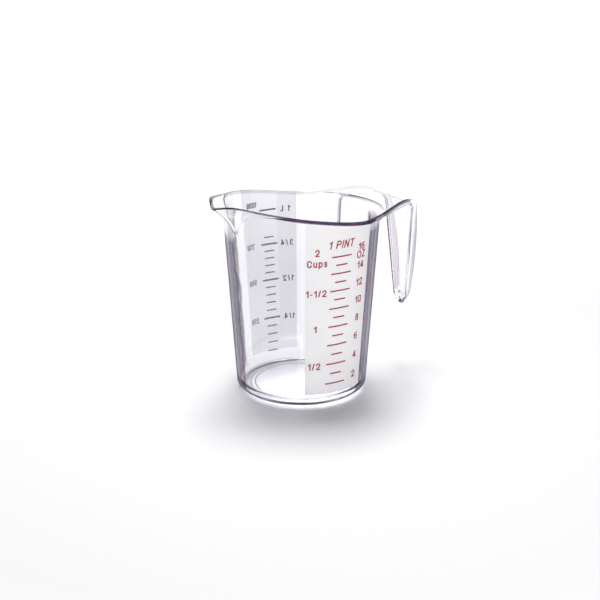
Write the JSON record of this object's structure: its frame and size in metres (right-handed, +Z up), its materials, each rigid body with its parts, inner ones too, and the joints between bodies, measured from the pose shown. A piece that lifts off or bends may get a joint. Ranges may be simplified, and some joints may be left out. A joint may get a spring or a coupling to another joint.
{
  "type": "resin mixing cup",
  "caption": "Clear tapered mixing and measuring cup with a pouring spout, an open hook handle that grows out of the rim, and printed ounce, cup and metric scales.",
  "frame": {"origin": "on the cup's axis, on the plane that its foot ring stands on", "axes": "+Z up along the cup's axis; +X from the axis through the handle, with the spout towards -X; the US scale faces -Y and the metric scale +Y"},
  "size_m": [0.139, 0.0932, 0.1208],
  "materials": {
    "clear_plastic": "clear polished plastic, faint lavender tint",
    "milky_film": "thin milky printed film, smooth",
    "dark_red_ink": "printed ink, satin",
    "navy_ink": "printed ink, satin"
  },
  "bodies": {
    "root": {"cup_body": "clear_plastic", "us_scale_panel": "milky_film", "metric_scale_panel": "milky_film", "us_even_ounce_lines": "dark_red_ink", "us_odd_ounce_lines": "dark_red_ink", "metric_quarter_litre_lines": "navy_ink", "metric_step_lines": "navy_ink", "us_pint_label": "dark_red_ink", "us_cup_labels": "dark_red_ink", "us_ounce_labels": "dark_red_ink", "metric_litre_labels": "navy_ink", "metric_ml_labels": "navy_ink"}
  },
  "joints": []
}
